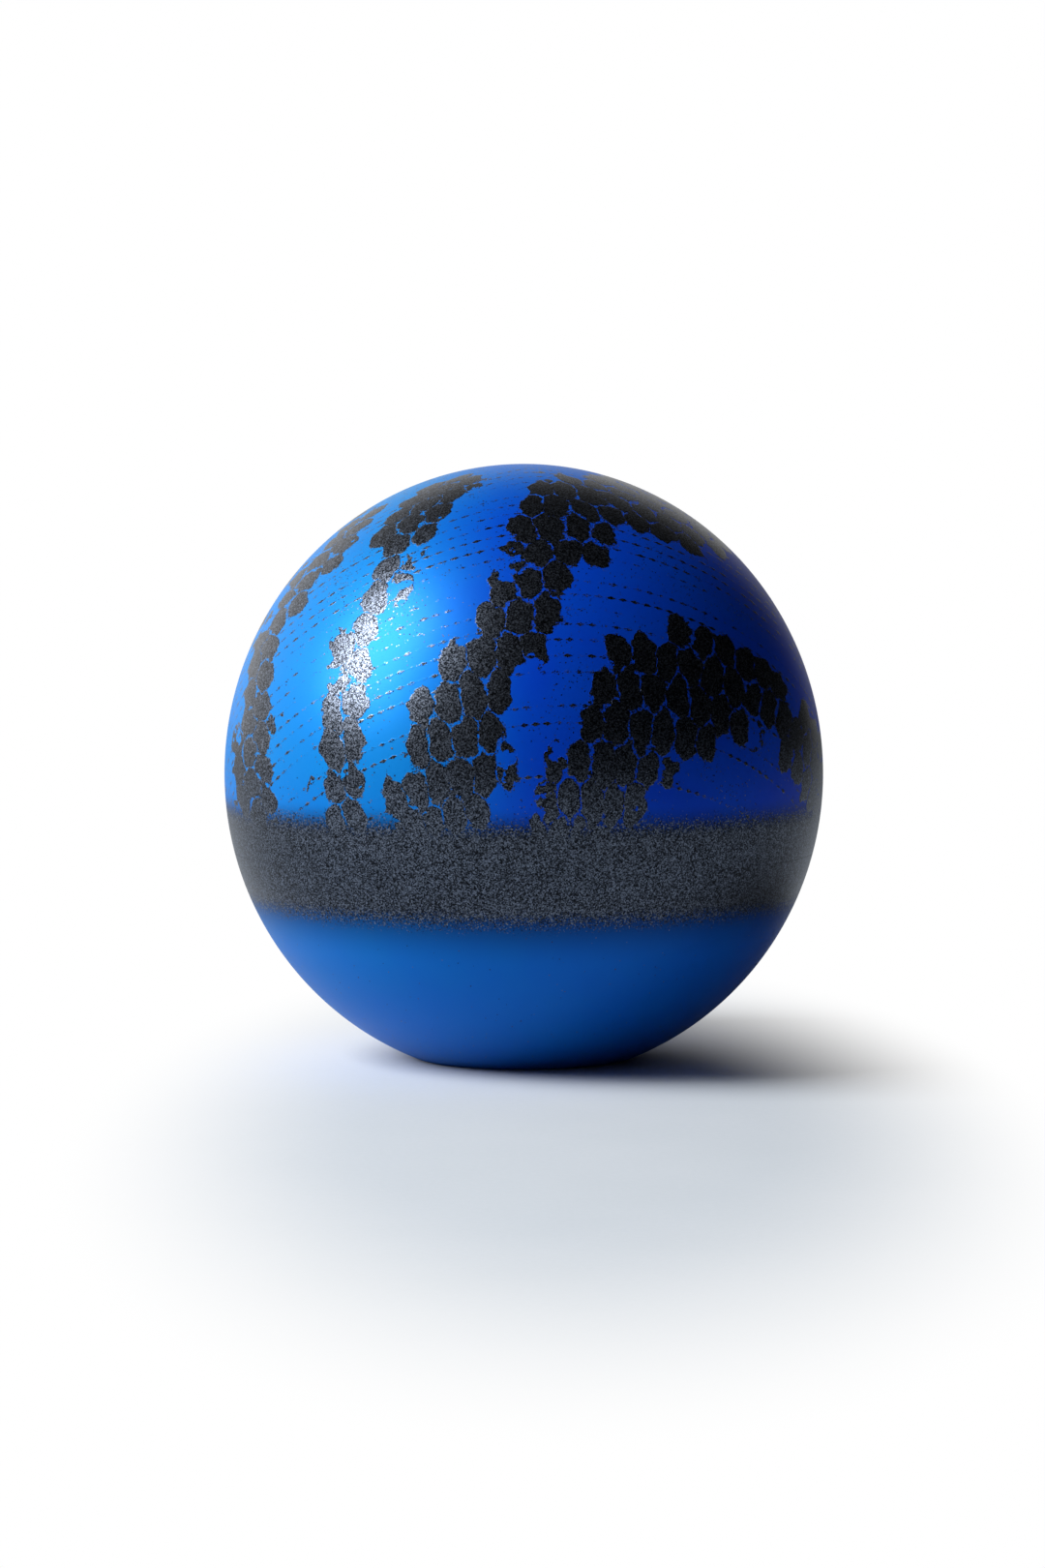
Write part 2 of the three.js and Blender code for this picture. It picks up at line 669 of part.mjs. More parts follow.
// Everything on the axle is turned about Z, and this group lays it along X.
const reel = new THREE.Group();
reel.position.set(0, AXLE_OFFSET, AXLE_HEIGHT);
reel.rotation.y = Math.PI / 2;
reel.add(
  piece("axle", axle(), steel),
  piece("axle_clip_left", axleClip(-CLIP_START - CLIP_THICKNESS), springSteel),
  piece("axle_clip_right", axleClip(CLIP_START), springSteel),
  piece("bearing_spacer", bearingSpacer(), steel),
  piece("spring_arbor", springArbor(), steel),
  piece("bearing_inner_race", bearingInnerRace(), bearingSteel),
  piece("bearing_outer_race", bearingOuterRace(), bearingSteel),
  piece("bearing_shield_left", bearingShield(-1), bearingSteel),
  piece("bearing_shield_right", bearingShield(1), bearingSteel),
  piece("bearing_cage", bearingCage(), brass),
  piece("spool", spool(), whitePlastic),
  piece("spring_cover", springCover(), whitePlastic),
  piece("reel_bush", reelBush(), bronze),
  piece("return_spring", returnSpring(), springSteel),
);
aroundCircle(BEARING_BALLS, BEARING_PITCH_RADIUS).forEach((place, i) => {
  reel.add(piece(`bearing_ball_${i + 1}`, bearingBall(place), bearingSteel));
});

// The cover's screws point from the cover into the spool, so each is turned over.
const coverScrewHead = 0.9;
COVER_SCREWS.forEach(({ x, y }, i) => {
  const shape = screw(SMALL_SCREW_RADIUS, 1.3, coverScrewHead, 2.9);
  const coverScrew = piece(`cover_screw_${i + 1}`, shape, steel);
  coverScrew.rotation.x = Math.PI;
  coverScrew.position.set(x, y, COVER_START + COVER_THICKNESS + coverScrewHead + 0.1);
  reel.add(coverScrew);
});
ball.add(reel);

export default ball;
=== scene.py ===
"""A ball yo-yo: candy-blue metallic paint, with dark flake sprayed on through a laddered net.

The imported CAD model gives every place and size. Both shells are replaced by smooth ones, whose paint is
worked out from angles on the ball. The pieces inside the ball keep their CAD meshes, with finer materials.
"""

import json
import math

import bpy
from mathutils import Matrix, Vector


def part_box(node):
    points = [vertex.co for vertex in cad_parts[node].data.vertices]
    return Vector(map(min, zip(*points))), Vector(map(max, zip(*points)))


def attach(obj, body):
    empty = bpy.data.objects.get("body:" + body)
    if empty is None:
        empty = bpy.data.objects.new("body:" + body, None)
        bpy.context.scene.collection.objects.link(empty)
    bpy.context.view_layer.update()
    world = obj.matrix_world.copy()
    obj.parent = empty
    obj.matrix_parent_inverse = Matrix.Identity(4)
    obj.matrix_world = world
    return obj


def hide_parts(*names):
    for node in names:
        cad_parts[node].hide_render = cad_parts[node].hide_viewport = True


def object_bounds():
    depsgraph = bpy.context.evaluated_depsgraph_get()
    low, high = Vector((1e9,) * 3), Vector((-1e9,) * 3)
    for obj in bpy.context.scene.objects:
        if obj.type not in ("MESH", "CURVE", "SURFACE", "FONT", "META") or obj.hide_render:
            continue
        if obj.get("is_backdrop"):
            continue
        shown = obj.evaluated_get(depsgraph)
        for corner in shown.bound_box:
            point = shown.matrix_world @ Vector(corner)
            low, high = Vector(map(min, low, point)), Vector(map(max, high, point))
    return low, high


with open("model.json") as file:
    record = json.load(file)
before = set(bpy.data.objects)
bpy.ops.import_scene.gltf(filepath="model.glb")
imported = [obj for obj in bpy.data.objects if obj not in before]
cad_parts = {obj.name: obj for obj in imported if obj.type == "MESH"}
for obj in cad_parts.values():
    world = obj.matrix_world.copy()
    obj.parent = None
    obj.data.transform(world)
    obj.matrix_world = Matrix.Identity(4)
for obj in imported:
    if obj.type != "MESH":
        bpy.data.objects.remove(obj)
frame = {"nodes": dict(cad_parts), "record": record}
CAD_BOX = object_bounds()

MM = 0.001

# ---- Sizes, from the frame ----

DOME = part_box("upper_shell")
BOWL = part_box("lower_shell")
BALL_RADIUS = (DOME[1].x - DOME[0].x) / 2
BALL_TOP = DOME[1].z
SEAM_HEIGHT = (DOME[0].z + BOWL[1].z) / 2

# These repeat the CAD's driving dimensions.
DOME_RISE = 31 * MM
BOWL_DROP = 30.6 * MM
WALL = 2.4 * MM
WELL_RADIUS = 8.6 * MM
WELL_DEPTH = 7.5 * MM
WELL_FLOOR = 2.2 * MM
WELL_BEVEL = 0.7 * MM
EYELET_HOLE_RADIUS = 2.6 * MM
EYELET_THROAT_RADIUS = 1.3 * MM
SEAT_RADIUS = 26 * MM
SEAT_REACH = 3.8 * MM
WIDEST_HEIGHT = BALL_TOP - DOME_RISE
HAIRLINE = 0.01 * MM  # half of the painted-over gap at the seam


# ---- Camera ----

CAMERA_DISTANCE = 0.45
CAMERA_ELEVATION = math.radians(3.99)
CAMERA_LENS = 102.9
AIM_RIGHT = 0.13 * MM
AIM_DOWN = 1.07 * MM


def make_camera():
    centre = Vector((0, 0, WIDEST_HEIGHT))
    out = Vector((0, -math.cos(CAMERA_ELEVATION), math.sin(CAMERA_ELEVATION)))
    data = bpy.data.cameras.new("camera")
    data.lens = CAMERA_LENS
    data.sensor_width = 36
    data.clip_start = 0.01
    camera = bpy.data.objects.new("camera", data)
    camera.location = centre + CAMERA_DISTANCE * out
    aim = centre + Vector((-AIM_RIGHT, 0, -AIM_DOWN))
    camera.rotation_euler = (aim - camera.location).to_track_quat("-Z", "Y").to_euler()
    bpy.context.scene.collection.objects.link(camera)
    bpy.context.scene.camera = camera


# ---- Values that a material works out ----


class Field:
    """A number that varies over a surface, made of shader nodes, so that a formula reads as arithmetic."""

    def __init__(self, tree, socket):
        self.tree = tree
        self.socket = socket

    def math(self, operation, *others):
        node = self.tree.nodes.new("ShaderNodeMath")
        node.operation = operation
        for slot, value in zip(node.inputs, (self, *others)):
            feed(self.tree, slot, value)
        return Field(self.tree, node.outputs[0])

    def __add__(self, other):
        return self.math("ADD", other)

    def __sub__(self, other):
        return self.math("SUBTRACT", other)

    def __rsub__(self, other):
        return self.math("MULTIPLY_ADD", -1.0, other)

    def __mul__(self, other):
        return self.math("MULTIPLY", other)

    def __truediv__(self, other):
        return self.math("DIVIDE", other)

    __radd__ = __add__
    __rmul__ = __mul__

    def __gt__(self, other):
        return self.math("GREATER_THAN", other)

    def __lt__(self, other):
        return self.math("LESS_THAN", other)

    def __abs__(self):
        return self.math("ABSOLUTE")

    def __round__(self):
        return self.math("ROUND")

    def cos(self):
        return self.math("COSINE")

    def sin(self):
        return self.math("SINE")

    def root(self):
        return self.math("SQRT")

    def least(self, other):
        return self.math("MINIMUM", other)

    def most(self, other):
        return self.math("MAXIMUM", other)

    def rises(self, low, high):
        """0 below low, 1 above high, and smooth between. With low above high, it falls."""
        node = self.tree.nodes.new("ShaderNodeMapRange")
        node.interpolation_type = "SMOOTHSTEP"
        for slot, value in zip(node.inputs, (self, low, high, 0.0, 1.0)):
            feed(self.tree, slot, value)
        return Field(self.tree, node.outputs[0])

    def choose(self, yes, no):
        """yes where this is 1, no where it is 0, and a mix between."""
        return (yes - no) * self + no


def feed(tree, slot, value):
    if isinstance(value, Field):
        tree.links.new(value.socket, slot)
    else:
        slot.default_value = value


def new_material(name, **constants):
    """A material with one Principled node. constants are its sockets' values, with _ for a space."""
    material = bpy.data.materials.new(name)
    material.use_nodes = True
    shader = material.node_tree.nodes["Principled BSDF"]
    for key, value in constants.items():
        shader.inputs[key.replace("_", " ")].default_value = value
    return material, material.node_tree, shader


def object_point(tree):
    return tree.nodes.new("ShaderNodeTexCoord").outputs["Object"]


def joined(tree, x, y, z):
    node = tree.nodes.new("ShaderNodeCombineXYZ")
    for slot, value in zip(node.inputs, (x, y, z)):
        feed(tree, slot, value)
    return node.outputs[0]


def parts(tree, vector):
    """The three numbers of a vector or colour socket."""
    node = tree.nodes.new("ShaderNodeSeparateXYZ")
    tree.links.new(vector, node.inputs[0])
    return [Field(tree, socket) for socket in node.outputs]


def noise_node(tree, vector, scale, detail, roughness):
    node = tree.nodes.new("ShaderNodeTexNoise")
    tree.links.new(vector, node.inputs["Vector"])
    node.inputs["Scale"].default_value = scale
    node.inputs["Detail"].default_value = detail
    node.inputs["Roughness"].default_value = roughness
    return node


def noise(tree, vector, scale, detail=2.0, roughness=0.5):
    """Smooth noise, about 0.5 on average."""
    return Field(tree, noise_node(tree, vector, scale, detail, roughness).outputs["Fac"])


def wander(tree, vector, scale, reach):
    """Two smooth noises that wander by up to about reach either way."""
    node = noise_node(tree, vector, scale, 4, 0.6)
    return [(part - 0.5) * (2 * reach) for part in parts(tree, node.outputs["Color"])[:2]]


def dice(tree, x, y, seed):
    """A random number from 0 to 1 for each pair of x and y."""
    node = tree.nodes.new("ShaderNodeTexWhiteNoise")
    tree.links.new(joined(tree, x, y, seed), node.inputs["Vector"])
    return Field(tree, node.outputs["Value"])


def mixed_colour(tree, share, first, second):
    """first where share is 0, second where it is 1. Each is a colour or a socket that gives one."""
    node = tree.nodes.new("ShaderNodeMix")
    node.data_type = "RGBA"
    colours = [socket for socket in node.inputs if socket.type == "RGBA"]
    feed(tree, node.inputs[0], share)
    for slot, value in zip(colours, (first, second)):
        if isinstance(value, bpy.types.NodeSocket):
            tree.links.new(value, slot)
        else:
            slot.default_value = (*value, 1)
    return next(socket for socket in node.outputs if socket.type == "RGBA")


def mixed_shader(tree, share, first, second):
    """The first shader where share is 0, the second where it is 1."""
    node = tree.nodes.new("ShaderNodeMixShader")
    for slot, socket in zip(node.inputs, (share, first.outputs[0], second.outputs[0])):
        tree.links.new(socket, slot)
    return node


def add_bump(tree, shader, height, distance):
    bump = tree.nodes.new("ShaderNodeBump")
    bump.inputs["Distance"].default_value = distance
    feed(tree, bump.inputs["Height"], height)
    tree.links.new(bump.outputs[0], shader.inputs["Normal"])


# ---- Shell meshes ----

AROUND = 256  # faces round the ball
CREASE = math.radians(48)  # edges sharper than this stay sharp


def ball_point(angle, inset=0.0):
    """(radius, height) on the ball's outline at this angle above the widest circle, moved in by inset."""
    rise = (DOME_RISE if angle > 0 else BOWL_DROP) - inset
    return (BALL_RADIUS - inset) * math.cos(angle), WIDEST_HEIGHT + rise * math.sin(angle)


def angle_at(height, inset=0.0):
    up = height - WIDEST_HEIGHT
    rise = (DOME_RISE if up > 0 else BOWL_DROP) - inset
    return math.asin(max(-1.0, min(1.0, up / rise)))


def arc(from_height, to_height, steps, inset=0.0):
    start = angle_at(from_height, inset)
    end = angle_at(to_height, inset)
    return [ball_point(start + (end - start) * i / steps, inset) for i in range(steps + 1)]


def smooth(mesh):
    """Shades round faces as round, and keeps edges sharp."""
    mesh.polygons.foreach_set("use_smooth", [True] * len(mesh.polygons))
    mesh.set_sharp_from_angle(angle=CREASE)


def ring_of_vertices(vertices, radius, height):
    """Adds a ring about Z, or one vertex where the radius is 0. Returns its vertices' numbers."""
    if radius < 1e-9:
        vertices.append((0, 0, height))
        return [len(vertices) - 1] * AROUND
    first = len(vertices)
    for i in range(AROUND):
        turn = 2 * math.pi * i / AROUND
        vertices.append((radius * math.sin(turn), -radius * math.cos(turn), height))
    return list(range(first, first + AROUND))


def lathe(name, outline, closed):
    """A smooth solid turned about Z from (radius, height) points, which run up its outside."""
    vertices = []
    rings = [ring_of_vertices(vertices, radius, height) for radius, height in outline]
    pairs = list(zip(rings, rings[1:]))
    if closed:
        pairs.append((rings[-1], rings[0]))
    faces = []
    for low, high in pairs:
        for i in range(AROUND):
            j = (i + 1) % AROUND
            corners = [low[i], low[j], high[j], high[i]]
            faces.append(list(dict.fromkeys(corners)))
    mesh = bpy.data.meshes.new(name)
    mesh.from_pydata(vertices, [], faces)
    smooth(mesh)
    piece = bpy.data.objects.new(name, mesh)
    bpy.context.scene.collection.objects.link(piece)
    return piece


def dome_outline():
    rim = SEAM_HEIGHT + HAIRLINE
    seat = SEAM_HEIGHT + SEAT_REACH
    inner_top = BALL_TOP - WALL
    return [
        *arc(inner_top, seat, 40, WALL),
        (SEAT_RADIUS, seat),
        (SEAT_RADIUS, rim),
        *arc(rim, BALL_TOP, 110),
    ]


def eyelet_outline():
    """The brass eyelet in the well's floor: two rolled lips, joined by a tube round the string's throat."""
    low, high = (corner.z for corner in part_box("string_eyelet"))
    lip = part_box("string_eyelet")[1].x
    lip_height = WELL_DEPTH - low
    roll = 1.1 * MM
    corner = 0.3 * MM
    clearance = 0.1 * MM
    tube = EYELET_HOLE_RADIUS - 0.2 * MM

    def rolled(middle, start, end):
        steps = 10
        turns = [math.radians(start + (end - start) * i / steps) for i in range(steps + 1)]
        return [
            (EYELET_THROAT_RADIUS + roll - roll * math.cos(turn), middle + roll * math.sin(turn))
            for turn in turns
        ]

    return [
        *rolled(high - roll, 90, 0),
        *rolled(low + roll, 0, -90),
        (lip - corner, low),
        (lip - 0.08 * MM, low + 0.1 * MM),
        (lip, low + corner),
        (lip, low + lip_height - clearance),
        (tube, low + lip_height - clearance),
        (tube, high - lip_height + clearance),
        (lip, high - lip_height + clearance),
        (lip, high - corner),
        (lip - 0.08 * MM, high - 0.1 * MM),
        (lip - corner, high),
    ]


def bowl_outline():
    rim = SEAM_HEIGHT - HAIRLINE
    seat = SEAM_HEIGHT - SEAT_REACH
    well_wall = WELL_RADIUS + WALL
    inside = [point for point in arc(seat, WELL_BEVEL + WALL, 30, WALL) if point[0] > well_wall + 0.5 * MM]
    return [
        (EYELET_HOLE_RADIUS, WELL_DEPTH),
        (WELL_RADIUS - 0.4 * MM, WELL_DEPTH),
        (WELL_RADIUS, WELL_DEPTH - 0.4 * MM),
        (WELL_RADIUS, WELL_BEVEL),
        (WELL_RADIUS + WELL_BEVEL / 3, WELL_BEVEL / 3),
        (WELL_RADIUS + WELL_BEVEL, 0),
        *arc(0, rim, 60),
        (SEAT_RADIUS, rim),
        (SEAT_RADIUS, seat),
        *inside,
        (well_wall, WELL_BEVEL + WALL),
        (well_wall, WELL_DEPTH + WELL_FLOOR),
        (EYELET_HOLE_RADIUS, WELL_DEPTH + WELL_FLOOR),
    ]


# ---- The net's pattern ----

# Angles on the ball, in degrees: azimuth from the front towards +X, elevation from the widest circle.
NET_MIDDLE = 8  # azimuth of the line where the net's rows are highest
NET_TAPER = 18.6  # mm of net for each radian round the ball, at one radian from the net's pole
NET_POLE = 0.25  # radians that the net's pole lies beyond the top of the ball
NET_SAG = 0.7  # radians that the rows sag on their way to the sides
NET_STRETCH = 0.85  # how fast cells widen towards the sides
NET_RISE = 30  # mm of net for each radian up the ball
CELL_WIDTH = 2.45
CELL_STRETCH = 1.7  # height over width, against a regular hexagon
THREAD = 0.03  # half of a thread's width, over the cell's width
CELL_EDGE = (-0.05, 0.03)  # the soft edge of a cell, over its width
CELL_SQUARENESS = 0.6  # the share of the six-sided outline, the rest being round
CELL_ROUNDNESS = 0.38
NET_WANDER = 0.42  # cells that the net is pulled out of place
WANDER_SCALE = 350
SLACK_SCALE = 800
RAGGED = (4, 3)  # degrees by which a run's sides and its ends vary from cell to cell
SIZE_SPREAD = 0.06  # how much cells differ in size, and their edges waver, over their width
EDGE_SPREAD = 0.22
SPRAY_UNDER_THREAD = 0.3
DASH_ROWS = 1.6  # mm from row to row
DASH_STEP = 1.1
DASH_HALF_LENGTH = 0.4
DASH_HALF_WIDTH = 0.17
DEGREES = 180 / math.pi
HEXAGON_SIDE = (math.cos(math.radians(60)), math.sin(math.radians(60)))  # faces out from a slanted side

# Where runs in the net left whole cells open: (elevation, left azimuth, right azimuth).
OPEN_CELLS = (
    ((-9, -72, -55), (2, -69, -54), (15, -72, -57), (27, -77, -62), (47, -76, -58), (58, -84, -61)),
    ((-9, -40, -33), (16, -39, -32), (32, -40, -32), (47, -43, -30), (64, -55, -30), (75, -50, -15)),
    ((-9, -24, -9), (3, -25, -4), (14, -21, -2), (26, -14, 3), (38, -6, 11), (50, -2, 25), (65, 0, 74)),
    (
        (-9, 1, 14), (-3, 3, 20), (3, 7, 26), (8, 8, 38),
        (14, 10, 66), (21, 13, 60), (26, 17, 50), (30, 27, 40),
    ),
    ((-9, 72, 86), (2, 60, 88), (9, 50, 80), (14, 60, 74)),
    ((45, 60, 92), (51, 34, 92), (58, 20, 92), (66, 2, 92), (74, 5, 80)),
)


class BallPoint:
    """A point of the paint: its place on the ball, and on the net when laid flat, in mm."""

    def __init__(self, tree):
        x, y, z = parts(tree, object_point(tree))
        turn = math.radians(NET_MIDDLE)
        side = x * math.cos(turn) + y * math.sin(turn)
        depth = x * math.sin(turn) - y * math.cos(turn)
        self.tree = tree
        self.front = depth > 0
        self.side = side / BALL_RADIUS
        self.azimuth = side.math("ARCTAN2", abs(depth))
        up = z - WIDEST_HEIGHT
        self.drop = 0 - up / MM
        slope = up / (up > 0).choose(DOME_RISE, BOWL_DROP)
        self.elevation = slope.least(1).most(-1).math("ARCSINE")
        self.from_pole = math.pi / 2 + NET_POLE - self.elevation
        self.around = (self.azimuth * NET_STRETCH).sin() / NET_STRETCH
        self.across = NET_TAPER * self.from_pole * self.around
        self.up = NET_RISE * (self.elevation - NET_SAG * self.azimuth.cos())

    def moved(self, across, up):
        """(azimuth, elevation) at a small step across and up the net."""
        step = across / NET_TAPER
        rise = up / NET_RISE
        sag = NET_SAG * self.azimuth.sin()
        rate = (self.azimuth * NET_STRETCH).cos()
        turn = (step + self.around * rise) / (self.from_pole * rate + self.around * sag)
        return self.azimuth + turn, self.elevation + rise - sag * turn


def follow(tree, elevation, points):
    """The azimuth that (elevation, azimuth) points give, with straight lines between. All in degrees."""
    node = tree.nodes.new("ShaderNodeFloatCurve")
    line = node.mapping.curves[0].points
    while len(line) < len(points):
        line.new(0.5, 0.5)
    for knot, (up, turn) in zip(line, points):
        knot.location = (up / 180 + 0.5, turn / 360 + 0.5)
        knot.handle_type = "VECTOR"
    node.mapping.update()
    feed(tree, node.inputs["Value"], elevation / 180 + 0.5)
    return (Field(tree, node.outputs[0]) - 0.5) * 360


def hexagon_offset(x, y):
    """(x, y) from the middle of the hexagon it falls in. Hexagons stand on a point and are 1 wide."""
    row = math.sqrt(3)
    offsets = []
    for shift in (0, 0.5):
        off_x = x - shift - round(x - shift)
        tier = (y - shift * row) / row
        offsets.append((off_x, (tier - round(tier)) * row))
    (ax, ay), (bx, by) = offsets
    nearer = (ax * ax + ay * ay) < (bx * bx + by * by)
    return nearer.choose(ax, bx), nearer.choose(ay, by)


def open_cells(tree, azimuth, elevation):
    """1 where a cell's middle, at these angles in degrees, lies in a run."""
    found = None
    for run in OPEN_CELLS:
        left = follow(tree, elevation, [(up, turn) for up, turn, _ in run])
        right = follow(tree, elevation, [(up, turn) for up, _, turn in run])
        here = (azimuth > left) * (azimuth < right) * (elevation > run[0][0]) * (elevation < run[-1][0])
        found = here if found is None else found.most(here)
    return found


def scales(ball, point):
    """Cover of flake paint: 1 in an open cell, less under the threads of a run, and 0 elsewhere."""
    tree = ball.tree
    bend_x, bend_y = wander(tree, point, WANDER_SCALE, NET_WANDER)
    x = ball.across / CELL_WIDTH + bend_x
    y = ball.up / (CELL_WIDTH * CELL_STRETCH) + bend_y
    dx, dy = hexagon_offset(x, y)
    luck = dice(tree, round((x - dx) * 2), round((y - dy) * 2), ball.front)
    azimuth, elevation = ball.moved(dx * -CELL_WIDTH, dy * (-CELL_WIDTH * CELL_STRETCH))
    is_open = open_cells(
        tree,
        azimuth * DEGREES + NET_MIDDLE + (luck - 0.5) * RAGGED[0],
        elevation * DEGREES + (luck - 0.5) * RAGGED[1],
    )
    dx = abs(dx)
    dy = abs(dy)
    six_sided = dx.most(dx * HEXAGON_SIDE[0] + dy * HEXAGON_SIDE[1])
    reach = six_sided * CELL_SQUARENESS + (dx * dx + dy * dy).root() * CELL_ROUNDNESS
    slack = noise(tree, point, SLACK_SCALE, detail=1)
    edge = 0.5 - THREAD + (luck - 0.4) * SIZE_SPREAD + (slack - 0.5) * EDGE_SPREAD
    return is_open * (edge - reach).rises(*CELL_EDGE).most(SPRAY_UNDER_THREAD)


def dashes(ball, patches):
    """Faint rows of short dashes, where the net's threads lay close."""
    tree = ball.tree
    row = round(ball.up / DASH_ROWS)
    luck = dice(tree, row, ball.front, 3)
    dash = ball.across / DASH_STEP + luck
    above = abs(ball.up - row * DASH_ROWS)
    aside = abs(dash - round(dash)) * DASH_STEP
    strong = dice(tree, round(dash), row, 5)
    shape = (aside / DASH_HALF_LENGTH + above / DASH_HALF_WIDTH).rises(1.7, 0.7)
    return shape * strong.rises(-0.3, 0.7) * luck.rises(-0.2, 0.9) * patches.rises(0.2, 0.5)


# ---- Paint ----

BLUE = (0.0, 0.045, 0.62)
# PALE_BLUE is the blue as it looks where light falls. It is used for painted highlight, sheen and floor
# bounce, and a little for random tone.
PALE_BLUE = (0.0, 0.215, 0.54)
SMOKY_BLUE = (0.0, 0.015, 0.06)
DARK_FLAKE = (0.003, 0.004, 0.006)
PALE_FLAKE = (0.17, 0.2, 0.26)
FLAKE_SIZE = 0.11 * MM
PAINT_THICKNESS = 0.015 * MM
ORANGE_PEEL = 0.12  # height of the paint's own waviness, over its thickness
PATCH_SCALE = 160
PEEL_SCALE = 1200

# In mm below the widest circle.
BAND_TOP = 3.2
BAND_BOTTOM = 12.2
BAND_FADE = 2.2
SMOKE_END = 17  # the thin edge of the band darkens the blue down to here


def band_cover(ball):
    """1 in the sprayed band, 0 away from it."""
    return (ball.drop.rises(BAND_TOP - BAND_FADE, BAND_TOP + BAND_FADE)
            * ball.drop.rises(BAND_BOTTOM + BAND_FADE, BAND_BOTTOM - BAND_FADE))


def candy_blue(ball, patches):
    """Deep blue, with painted light in it: paler at the upper left as a painted highlight, round the top as
    painted sheen and low down as painted floor bounce, with random patches of tone, and smoky near the band.
    """
    # Painted light: the blue is paler where light falls on it. This gives a painted highlight at the upper
    # left, painted sheen round the top, and painted floor bounce low down that is weaker on the right side.
    # The patches add a little random tone.
    painted_highlight = ball.side.rises(-0.05, -0.55) * ball.elevation.rises(-0.5, 0.1)
    top = ball.elevation.rises(0.9, 1.4)
    low = ball.elevation.rises(0.0, -0.5) * (0.45 - ball.side * 0.2)
    painted_light_and_patchy_pale = painted_highlight * 0.75 + top * 0.5 + low + patches * 0.15
    blue = mixed_colour(ball.tree, painted_light_and_patchy_pale.least(1), BLUE, PALE_BLUE)
    smoke = ball.drop.rises(1, BAND_TOP + 1) * ball.drop.rises(SMOKE_END, BAND_BOTTOM - BAND_FADE)
    return mixed_colour(ball.tree, smoke, blue, SMOKY_BLUE)


def flake_dice(tree, point):
    """Three random numbers from 0 to 1 for each flake."""
    flakes = tree.nodes.new("ShaderNodeTexVoronoi")
    tree.links.new(point, flakes.inputs["Vector"])
    flakes.inputs["Scale"].default_value = 1 / FLAKE_SIZE
    return parts(tree, flakes.outputs["Color"])


def shell_paint():
    """Candy blue, and over it dark flake paint: whole in the band, and patterned by the net above it."""
    material, tree, shader = new_material(
        "shell_paint",
        Coat_Weight=0.04,
        Coat_Roughness=0.25,
        Specular_IOR_Level=0.1,
    )
    point = object_point(tree)
    ball = BallPoint(tree)
    patches = noise(tree, point, PATCH_SCALE)
    net = scales(ball, point).most(dashes(ball, patches))
    above = ball.drop < BAND_TOP + BAND_FADE
    cover = band_cover(ball).most(net * above)
    stray = patches.rises(0.4, 0.8) * above * 0.05 + 0.002

    first, second, third = flake_dice(tree, point)
    flaked = (cover * 1.35 - first * 0.9).rises(0.0, 0.4).most(third < stray)
    grey = mixed_colour(tree, second * second, DARK_FLAKE, PALE_FLAKE)
    colour = mixed_colour(tree, flaked, candy_blue(ball, patches), grey)
    tree.links.new(colour, shader.inputs["Base Color"])
    feed(tree, shader.inputs["Metallic"], flaked.choose(1.0, 0.3))
    feed(tree, shader.inputs["Roughness"], flaked.choose(0.33, 0.42))
    peel = noise(tree, point, PEEL_SCALE, detail=1)
    add_bump(tree, shader, cover + peel * ORANGE_PEEL, PAINT_THICKNESS)
    return material


# ---- The other materials ----


MOTTLE_SCALE = 220
WEAR_SCALE = 700
GRAIN_SCALE = 2500


def plain_material(name, colour, metallic, roughness, streaks=(1, 1, 1), relief=0.01):
    """Plain plastic or metal, with mottled colour, uneven gloss and a fine grain drawn out by streaks."""
    material, tree, shader = new_material(name, Metallic=metallic)
    point = object_point(tree)
    drawn = tree.nodes.new("ShaderNodeMapping")
    drawn.inputs["Scale"].default_value = streaks
    tree.links.new(point, drawn.inputs["Vector"])
    mottle = noise(tree, point, MOTTLE_SCALE, detail=4, roughness=0.6)
    grain = noise(tree, drawn.outputs[0], GRAIN_SCALE, detail=3, roughness=0.7)
    worn = noise(tree, point, WEAR_SCALE).rises(0.55, 0.75)
    shade = mottle.rises(0.3, 0.7) * 0.7 + grain * 0.3
    pale = [min(1, part * 1.15 + 0.005) for part in colour]
    deep = [part * 0.8 for part in colour]
    tree.links.new(mixed_colour(tree, shade, deep, pale), shader.inputs["Base Color"])
    feed(tree, shader.inputs["Roughness"], (grain - 0.5) * 0.25 + mottle * 0.1 - worn * 0.08 + roughness)
    add_bump(tree, shader, grain, relief * MM)
    return material


# Turned pieces inside the ball have their axis along X, so their tool marks run round it.
ROUND_X = (6, 0.4, 0.4)
ROUND_Z = (0.4, 0.4, 6)

FINISHES = {
    "black_plastic": plain_material("black_plastic", (0.014, 0.014, 0.016), 0, 0.5, relief=0.03),
    "white_plastic": plain_material("white_plastic", (0.62, 0.61, 0.56), 0, 0.42, relief=0.015),
    "brass": plain_material("brass", (0.83, 0.56, 0.22), 1, 0.24, ROUND_Z),
    "bronze": plain_material("bronze", (0.5, 0.29, 0.14), 1, 0.42, relief=0.03),
    "steel": plain_material("steel", (0.5, 0.5, 0.51), 1, 0.32, ROUND_X),
    "spring_steel": plain_material("spring_steel", (0.12, 0.15, 0.21), 1, 0.3, ROUND_X),
    "bearing_steel": plain_material("bearing_steel", (0.66, 0.67, 0.69), 1, 0.16, ROUND_X, relief=0.003),
}


def finish_inner_nodes():
    for part in frame["record"]["subparts"]:
        finish = FINISHES.get(part["material_slot"])
        if finish:
            mesh = frame["nodes"][part["node"]].data
            mesh.materials.clear()
            mesh.materials.append(finish)
            smooth(mesh)


# ---- Floor, backdrop and light ----

